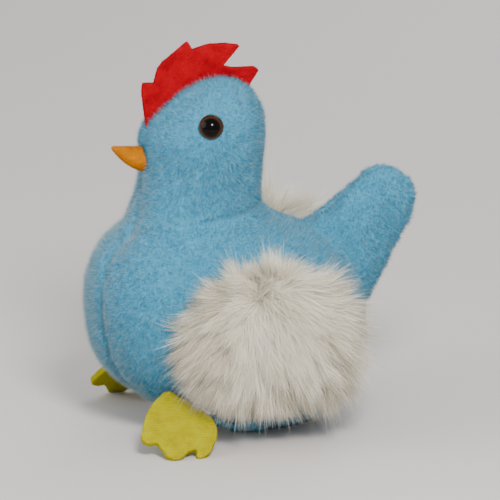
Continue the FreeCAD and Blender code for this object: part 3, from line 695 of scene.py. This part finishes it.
FUR_OUTWARD = 0.95            # how strongly strands point away from the parting
FUR_SWIRL, SWIRL_SIZE = 0.30, 30 * MM
FUR_BACK, FUR_DROOP, PARTING_DROOP = 0.06, 0.12, 0.62     # how they lean back and down
LOCK_LEAN, LOCK_BEND = 0.22, 0.13             # how much locks differ from each other
FUR_PROUD = 10.0 * MM         # the most that fur stands out past the CAD pad
FUR_FLOOR = 1.2 * MM          # fur ends this far over the floor
KEY_ROOM = 14.2 * MM          # fur stays this far from the key's axis
WING_VOXEL = 1.8 * MM
PAD_SHARE = np.array([0.62, 0.84, 0.84])      # how much of the CAD pad the cushion under the fur takes


def wing_base(node, name):
    """The cushion under the fur: the CAD pad, drawn in towards its face on the body."""
    mesh = gathered(name, [node])
    low, high = span(node)
    middle = (low + high) / 2
    outward = math.copysign(1, middle[0])
    anchor = np.array([outward * min(abs(low[0]), abs(high[0])), middle[1], middle[2]])
    points = coordinates(mesh)
    set_coordinates(mesh, anchor + (points - anchor) * PAD_SHARE)
    return through_modifiers(mesh, ("REMESH", {"mode": "VOXEL", "voxel_size": WING_VOXEL}),
                             ("SMOOTH", {"factor": 0.5, "iterations": 5}))


def ribbons(name, roots, lines, faces_out, width, material):
    """Tapered ribbons along lines (points along each strand), their flat sides towards faces_out."""
    count, last = len(roots), len(lines) - 1
    points = np.empty((count, 2 * last + 1, 3))
    along = unit(lines[-1] - roots)
    sides = unit(np.cross(along, faces_out))
    for i, line in enumerate(lines[:-1]):
        half = sides * (width * (1 - (i / last) ** 1.8) * 0.5)
        points[:, 2 * i] = line - half
        points[:, 2 * i + 1] = line + half
    points[:, 2 * last] = lines[-1]
    first = np.arange(count)[:, None] * (2 * last + 1)
    faces = []
    for k in range(0, 2 * last - 2, 2):
        faces += [first + [k, k + 1, k + 3], first + [k, k + 3, k + 2]]
    k = 2 * last - 2
    faces.append(first + [k, k + 1, k + 2])
    return fast_mesh(name, points.reshape(-1, 3), np.concatenate(faces), material)


def fur_coat(base_mesh, node, side_name, seed):
    """Long fur that radiates from a parting on the pad, droops, and gathers into soft locks."""
    low, high = span(node)
    outward = math.copysign(1, low[0] + high[0])
    centre = (low + high) / 2 + np.array([0, 1.0 * MM, FUR_CROWN])
    inner_face, outer_face = sorted((abs(low[0]), abs(high[0])))

    def outside(points):
        return np.where(points[:, 0] * outward > inner_face - 6 * MM, 1.0, 0.0)

    roots, normals = surface_samples(base_mesh, FUR_STRANDS, seed, outside)
    locks, _ = surface_samples(base_mesh, FUR_LOCKS, seed + 1, outside)
    mine = nearest(locks, roots)
    draw = rng(seed + 2)
    lock_way = rng(seed + 3).normal(size=locks.shape) * LOCK_LEAN
    lock_bend = rng(seed + 4).normal(size=locks.shape) * LOCK_BEND

    def upper(places):
        return soft_step(places[:, 2], centre[2] - 6 * MM, centre[2] + 12 * MM)

    def flow(places, facing):
        radial = places - centre
        radial[:, 0] = 0
        spread = soft_step(np.linalg.norm(radial, axis=1)[:, None], 0, FUR_SPREAD)
        swirl = np.stack([lumps(places, SWIRL_SIZE, seed + 20 + i) for i in range(3)], axis=1) * FUR_SWIRL
        way = facing * (FUR_UPRIGHT - FUR_FLATTER * spread) + unit(radial) * (FUR_OUTWARD * spread) + swirl
        way[:, 1] += FUR_BACK
        way[:, 2] -= FUR_DROOP + PARTING_DROOP * (1 - spread[:, 0])
        way[:, 2] += FUR_RISE[node] * upper(places)
        return way

    at_parting = 1 - soft_step(np.linalg.norm((roots - centre)[:, 1:], axis=1), 3 * MM, 16 * MM)
    loose = draw.normal(size=roots.shape) * (0.10 + 0.34 * at_parting)[:, None]
    ways = unit(flow(roots, normals) + lock_way[mine] + loose)
    lengths = draw.uniform(*FUR_LENGTH, len(roots))
    lengths *= np.where(draw.random(len(roots)) < FUR_STRAY, STRAY_TIMES, 1.0)
    lengths *= 1 + REAR_LONGER * soft_step(roots[:, 1] - centre[1], 8 * MM, 34 * MM)
    lengths *= 1 + RISEN_LONGER * FUR_RISE[node] * upper(roots)
    lengths *= 1 - LOW_SHORTER * soft_step(centre[2] - roots[:, 2], 26 * MM, 46 * MM)
    bend = lock_bend[mine] + draw.normal(size=roots.shape) * 0.06
    bend[:, 2] -= draw.uniform(0.10, 0.26, len(roots))
    pull = draw.uniform(0.10, 0.36, len(roots))[:, None]
    to_lock = (locks[mine] - roots) * pull
    lines = []
    for i in range(FUR_SEGMENTS + 1):
        t = i / FUR_SEGMENTS
        line = roots + (ways * t + bend * t * t) * lengths[:, None] + to_lock * t * t
        line[:, 2] = np.maximum(line[:, 2], FUR_FLOOR)
        line[:, 0] = outward * np.minimum(outward * line[:, 0], outer_face + FUR_PROUD)
        lines.append(line)
    if node == "right_wing":
        key_low, key_high = span("winding_key")
        axle = (key_low + key_high) / 2
        clear = np.ones(len(roots), bool)
        for line in lines:
            clear &= np.linalg.norm((line - axle)[:, 1:], axis=1) > KEY_ROOM
        roots, normals, lines = roots[clear], normals[clear], [line[clear] for line in lines]
    twist = unit(normals + rng(seed + 5).normal(size=roots.shape) * 0.35)
    tone_and_rim_shade = lumps(roots, 13 * MM, seed + 6) * 0.8 + rng(seed + 7).normal(size=len(roots)) * 0.6
    rim = np.linalg.norm((roots - centre)[:, 1:], axis=1) / FUR_SPREAD
    # painted shade: strands nearer the pad's rim are drawn more often from the darker tones
    tone_and_rim_shade += rim ** 2 * 1.4
    order = np.argsort(np.argsort(tone_and_rim_shade)) / len(roots)
    done = 0.0
    for tone, (color, share) in FUR_TONES.items():
        chosen = (order >= done) & (order < done + share)
        done += share
        name = side_name + "_" + tone
        looks = strand(name, color, sheen=0.05, roughness=0.7)
        shown = [line[chosen] for line in lines]
        mesh = ribbons(name, roots[chosen], shown, twist[chosen], FUR_WIDTH, looks)
        new_object(name, mesh, "root")


def fur_wing(node, side_name, seed):
    base_mesh = wing_base(node, side_name + "_wing_pad")
    pad = new_object(side_name + "_wing_pad", base_mesh, "root")
    cloth = felt(side_name + "_wing_cloth", (0.52, 0.49, 0.42), (0.62, 0.59, 0.52), (0.70, 0.67, 0.60))
    pad.data.materials.clear()
    pad.data.materials.append(cloth.material)
    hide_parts(node)
    fur_coat(base_mesh, node, side_name, seed)


fur_wing("left_wing", "left", 41)
fur_wing("right_wing", "right", 71)


# ---- felt ------------------------------------------------------------------------------
FOOT_SLOPE = math.radians(44)
RIB_PITCH = 1.0 * MM
FELT_SWELL, FELT_RIPPLE, RIPPLE_SIZE = 0.10 * MM, 0.05 * MM, 2.6 * MM
COMB_SWAY, COMB_WAVE = 1.7 * MM, 7.5 * MM     # the free edge's sway and how tight its wave is
COMB_LEAN, COMB_FRONT_LEAN = 1.3 * MM, 1.2 * MM


def soft_felt(name, nodes, body_name, material, voxel, bend=None):
    """Felt cut from CAD pieces: softened edges, a slight ripple and a bend."""
    mesh = gathered(name, nodes)
    mesh = through_modifiers(mesh, ("REMESH", {"mode": "VOXEL", "voxel_size": voxel}),
                             ("SMOOTH", {"factor": 0.5, "iterations": 4}))
    points, normals = coordinates(mesh), vertex_normals(mesh)
    points += normals * (FELT_SWELL + lumps(points, RIPPLE_SIZE, 71) * FELT_RIPPLE)[:, None]
    if bend:
        points = bend(points)
    set_coordinates(mesh, points)
    obj = new_object(name, mesh, body_name)
    obj.data.materials.clear()
    obj.data.materials.append(material)
    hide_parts(*nodes)
    return obj


def fuzz(obj, body_name, color, count, length, radius, seed):
    """Loose fibres that stand out of a felt piece at all slants."""
    roots, normals = surface_samples(obj.data, count, seed)
    draw = rng(seed + 1)
    ways = unit(normals * draw.uniform(0.15, 1.0, (len(roots), 1)) + draw.normal(size=roots.shape) * 0.55)
    into = np.sum(ways * normals, axis=1) < 0.05
    ways[into] = unit(ways[into] + normals[into] * 0.8)
    lengths = length * draw.uniform(0.5, 1.2, len(roots))
    name = obj.name + "_fuzz"
    piece = new_object(name, spikes(name, roots, ways, lengths, radius, strand(name, color)), body_name)


def comb_wave(points):
    """The comb's free edge sways out of its plane, more towards its tips."""
    x, y, z = points.T
    rise = soft_step(z, 170 * MM, 192 * MM)
    front = soft_step(-y, 26 * MM, 40 * MM)
    sway = np.sin(y / COMB_WAVE + 0.6) * COMB_SWAY + COMB_LEAN
    points[:, 0] = x + sway * rise - COMB_FRONT_LEAN * front
    return points


def foot_ribs(m):
    """Adds the fine, slightly uneven ribs of the feet's cloth."""
    parts = m.tree.nodes.new("ShaderNodeSeparateXYZ")
    m.link(m.where, parts.inputs[0])
    across = m.math("MULTIPLY", m.math("ABSOLUTE", parts.outputs["X"]), math.cos(FOOT_SLOPE))
    down = m.math("MULTIPLY", parts.outputs["Z"], math.sin(FOOT_SLOPE))
    turns = m.math("MULTIPLY", m.math("SUBTRACT", across, down), 2 * math.pi / RIB_PITCH)
    ribs = m.math("SINE", m.math("ADD", turns, m.math("MULTIPLY", m.noise(300, 3), 3.0)))
    m.bump(ribs, 0.5, 0.0004)
    return m


comb_felt = felt("red_felt", (0.20, 0.0, 0.004), (0.36, 0.0, 0.007), (0.50, 0.0, 0.012)).material
beak_felt = felt("orange_felt", (0.30, 0.08, 0.0), (0.46, 0.145, 0.0), (0.60, 0.225, 0.0)).material
foot_felt = felt("yellow_felt", (0.34, 0.26, 0.0), (0.43, 0.39, 0.0), (0.50, 0.46, 0.008))
foot_cloth = foot_ribs(foot_felt).material

comb_voxel, beak_voxel, foot_voxel = 0.38 * MM, 0.35 * MM, 0.45 * MM
comb_pieces = [
    soft_felt("comb_left", ["comb_left_layer"], "root", comb_felt, comb_voxel, comb_wave),
    soft_felt("comb_right", ["comb_right_layer"], "root", comb_felt, comb_voxel, comb_wave),
]
beak = soft_felt("beak_cone", ["beak", "beak_filling"], "root", beak_felt, beak_voxel)
foot_pieces = [
    soft_felt("left_foot_felt", ["left_foot"], "legs", foot_cloth, foot_voxel),
    soft_felt("right_foot_felt", ["right_foot"], "legs", foot_cloth, foot_voxel),
]
for place, piece in enumerate(comb_pieces):
    fuzz(piece, "root", (0.42, 0.0, 0.008), 6000, 1.0 * MM, 0.04 * MM, 120 + place)
fuzz(beak, "root", (0.46, 0.155, 0.0), 3000, 0.8 * MM, 0.035 * MM, 130)
for place, piece in enumerate(foot_pieces):
    fuzz(piece, "legs", (0.46, 0.42, 0.004), 6000, 0.9 * MM, 0.04 * MM, 140 + place)


# ---- eyes ------------------------------------------------------------------------------
EYE_AXIS = Vector((0.925, -0.22, 0.31)).normalized()
EYE_RADIUS, EYE_DOME = 6.0 * MM, 4.2 * MM     # the dome's height
DOME_SHARE = 0.93             # how much of the eye's radius the dome takes inside its rim
RIM_PROFILE = (               # radius and height in mm, from behind the face over its edge
    (4.9, -2.6), (5.7, -1.6), (6.02, -0.6), (6.08, 0.1),
    (5.98, 0.5), (5.80, 0.74), (5.60, 0.78), (5.42, 0.6),
)
IRIS_SHIFT = (-0.35 * MM, 0.25 * MM)     # the pupil sits a little off the middle
EYE_STEPS, DOME_STEPS = 72, 16


def eye_looks():
    m = Nodes("eye_glass", (0.01, 0.006, 0.004), 0.05, Coat_Weight=0.12, Coat_Roughness=0.03,
              Specular_IOR_Level=0.07)
    moved = m.tree.nodes.new("ShaderNodeMapping")
    moved.inputs["Location"].default_value = (*IRIS_SHIFT, 0)
    moved.inputs["Scale"].default_value = (1, 1, 0)
    m.link(m.where, moved.inputs["Vector"])
    length = m.tree.nodes.new("ShaderNodeVectorMath")
    length.operation = "LENGTH"
    m.link(moved.outputs[0], length.inputs[0])
    far = m.math("DIVIDE", length.outputs["Value"], EYE_RADIUS)
    streaks = m.noise(1800, 4, 0.7)
    near = m.math("ADD", far, m.math("MULTIPLY", m.math("SUBTRACT", streaks, 0.5), 0.05))
    black, brown, amber = (0.001, 0.001, 0.001), (0.012, 0.004, 0.001), (0.060, 0.020, 0.004)
    m.color(m.ramp(near, (0.64, black), (0.72, brown), (0.84, amber), (0.95, brown), (0.99, black)))
    return m.material


def lathe(name, profile):
    """A surface turned about +Z from (radius, height) points; a radius of 0 closes it."""
    points, faces, rows = [], [], []
    for radius, height in profile:
        if radius == 0:
            rows.append([len(points)] * EYE_STEPS)
            points.append((0, 0, height))
            continue
        rows.append(list(range(len(points), len(points) + EYE_STEPS)))
        for i in range(EYE_STEPS):
            turn = 2 * math.pi * i / EYE_STEPS
            points.append((radius * math.cos(turn), radius * math.sin(turn), height))
    for low, high in zip(rows[:-1], rows[1:]):
        for i in range(EYE_STEPS):
            corners = [low[i], low[(i + 1) % EYE_STEPS], high[(i + 1) % EYE_STEPS], high[i]]
            faces.append(list(dict.fromkeys(corners)))
    return mesh_from(name, points, faces)


def eye(node, side, glass, rim_plastic):
    """A safety eye: a moulded rim and a domed face with an amber ring round its pupil."""
    axis = Vector((side * EYE_AXIS.x, EYE_AXIS.y, EYE_AXIS.z))
    points = coordinates(NODES[node].data)
    across = UP.cross(axis).normalized()
    over = axis.cross(across)
    middle = Vector((0, 0, 0))
    for way in (across, over):
        spread = points @ np.array(way)
        middle += way * float((spread.min() + spread.max()) / 2)
    apex = float((points @ np.array(axis)).max())
    ball = (EYE_RADIUS ** 2 + EYE_DOME ** 2) / (2 * EYE_DOME)
    dome = []
    for i in range(DOME_STEPS + 1):
        radius = DOME_SHARE * EYE_RADIUS * math.cos(math.pi / 2 * i / DOME_STEPS)
        height = math.sqrt(ball ** 2 - radius ** 2) - ball + EYE_DOME
        dome.append((0 if i == DOME_STEPS else radius, height))
    rim = [(radius * MM, height * MM) for radius, height in RIM_PROFILE]
    turn = UP.rotation_difference(axis).to_matrix().to_4x4()
    for name, profile, looks in (("_dome", dome, glass), ("_rim", rim, rim_plastic)):
        mesh = lathe(node + name, profile)
        mesh.materials.append(looks)
        obj = new_object(node + name, mesh)
        obj.matrix_world = turn
        obj.location = middle + axis * (apex - EYE_DOME)
        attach(obj, "root")
        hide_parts(node)


EYE_GLASS = eye_looks()
EYE_RIM = plastic("eye_rim", (0.012, 0.007, 0.005), 0.35)
eye("left_eye", 1, EYE_GLASS, EYE_RIM)
eye("right_eye", -1, EYE_GLASS, EYE_RIM)

# ---- carried CAD nodes -----------------------------------------------------------------
STEEL = metal("plate_steel", (0.62, 0.62, 0.60), 0.34)
SPRING = metal("spring_steel", (0.30, 0.32, 0.38), 0.30)
SCREW = metal("screw_steel", (0.70, 0.70, 0.68), 0.22)
NICKEL = metal("key_nickel", (0.76, 0.75, 0.71), 0.18)
ARBOR = metal("arbor_steel", (0.58, 0.58, 0.58), 0.20)
BRASS = metal("wheel_brass", (0.72, 0.52, 0.20), 0.28, grime=(0.20, 0.11, 0.03))
HOUSING = plastic("housing_plastic", (0.72, 0.70, 0.62), 0.45)
SEAT = plastic("seat_plastic", (0.05, 0.13, 0.22), 0.55)
WASHER = plastic("washer_plastic", (0.80, 0.80, 0.78), 0.40)
EYE = plastic("eye_plastic", (0.02, 0.01, 0.006), 0.08)
FINISHES = {
    "plate_steel": STEEL, "spring_steel": SPRING, "screw_steel": SCREW, "key_nickel": NICKEL,
    "arbor_steel": ARBOR, "wheel_brass": BRASS, "housing_plastic": HOUSING, "seat_plastic": SEAT,
    "washer_plastic": WASHER, "eye_plastic": EYE,
}
for entry in frame["record"]["subparts"]:
    finish = FINISHES.get(entry["material_slot"])
    if finish:
        dress(entry["node"], finish)


def eased(name, node, body_name, width, material):
    """A copy of a CAD node with its sharp edges rounded off."""
    work = bmesh.new()
    work.from_mesh(NODES[node].data)
    bmesh.ops.remove_doubles(work, verts=work.verts, dist=WELD)
    bmesh.ops.dissolve_limit(work, angle_limit=math.radians(1), verts=work.verts, edges=work.edges)
    mesh = bpy.data.meshes.new(name)
    work.to_mesh(mesh)
    work.free()
    bevel = {"width": width, "segments": 3, "limit_method": "ANGLE", "angle_limit": math.radians(35)}
    mesh = through_modifiers(mesh, ("BEVEL", bevel), ("WEIGHTED_NORMAL", {"keep_sharp": True}))
    obj = new_object(name, mesh, body_name)
    obj.data.materials.clear()
    obj.data.materials.append(material)
    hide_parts(node)


eased("key_rounded", "winding_key", "winder", 0.35 * MM, NICKEL)
eased("collar_rounded", "key_collar", "root", 0.5 * MM, SEAT)
eased("seat_rounded", "seat_plate", "root", 0.5 * MM, SEAT)

# ---- stage, light, camera --------------------------------------------------------------
AZIMUTH, ELEVATION = math.radians(75), math.radians(16)
CAMERA_DISTANCE = 4.0
FRAME_WIDTH = 0.245           # metres across the picture at the toy
SENSOR_WIDTH = 36             # mm
AIM_RIGHT, AIM_UP, AIM_NEAR = 12.25 * MM, 83.3 * MM, 18 * MM      # the picture's middle
FLOOR_HALF = 4.0
LAMPS = {                     # place along toward, right and up, then size, watts and colour
    "key": ((1.0, 0.16, 0.42), 0.30, 14.5, (1.0, 0.98, 0.95)),
    "fill": ((0.4, -1.0, 0.35), 0.9, 6, (0.97, 0.98, 1.0)),
    "back": ((-0.8, 0.4, 0.9), 0.8, 5, (1, 1, 1)),
}
SKY_COLOR, SKY_STRENGTH = (0.86, 0.88, 0.90, 1), 0.75
level = math.cos(ELEVATION)
toward = Vector((level * math.sin(AZIMUTH), -level * math.cos(AZIMUTH), math.sin(ELEVATION)))
right = Vector((math.cos(AZIMUTH), math.sin(AZIMUTH), 0))
up = toward.cross(right)
target = right * AIM_RIGHT + up * AIM_UP + toward * AIM_NEAR


def stage():
    """A plain pale floor under the toy."""
    signs = ((-1, -1), (1, -1), (1, 1), (-1, 1))
    corners = [(a * FLOOR_HALF, b * FLOOR_HALF, 0) for a, b in signs]
    floor = mesh_from("floor", corners, [(0, 1, 2, 3)])
    m = Nodes("floor_cloth", (0.64, 0.60, 0.575), 0.9)
    m.bump(m.noise(40, 4), 0.05, 0.002)
    floor.materials.append(m.material)
    new_object("floor", floor)


def lamp(name, place, aim, size, power, color):
    data = bpy.data.lights.new(name, "AREA")
    data.shape, data.size, data.energy, data.color = "DISK", size, power, color
    obj = bpy.data.objects.new(name, data)
    bpy.context.scene.collection.objects.link(obj)
    obj.location = place
    obj.rotation_euler = (aim - place).to_track_quat("-Z", "Y").to_euler()


stage()
middle = Vector((0, 0.01, 0.09))
for name, (way, size, power, color) in LAMPS.items():
    lamp(name, middle + toward * way[0] + right * way[1] + up * way[2], middle, size, power, color)
world = bpy.data.worlds.new("studio")
world.use_nodes = True
sky = world.node_tree.nodes["Background"]
sky.inputs["Color"].default_value = SKY_COLOR
sky.inputs["Strength"].default_value = SKY_STRENGTH
bpy.context.scene.world = world

camera_data = bpy.data.cameras.new("camera")
camera_data.sensor_width = SENSOR_WIDTH
camera_data.lens = SENSOR_WIDTH * CAMERA_DISTANCE / FRAME_WIDTH
camera_data.clip_end = 20
camera = bpy.data.objects.new("camera", camera_data)
bpy.context.scene.collection.objects.link(camera)
camera.location = target + toward * CAMERA_DISTANCE
camera.rotation_euler = (-toward).to_track_quat("-Z", "Y").to_euler()
bpy.context.scene.camera = camera
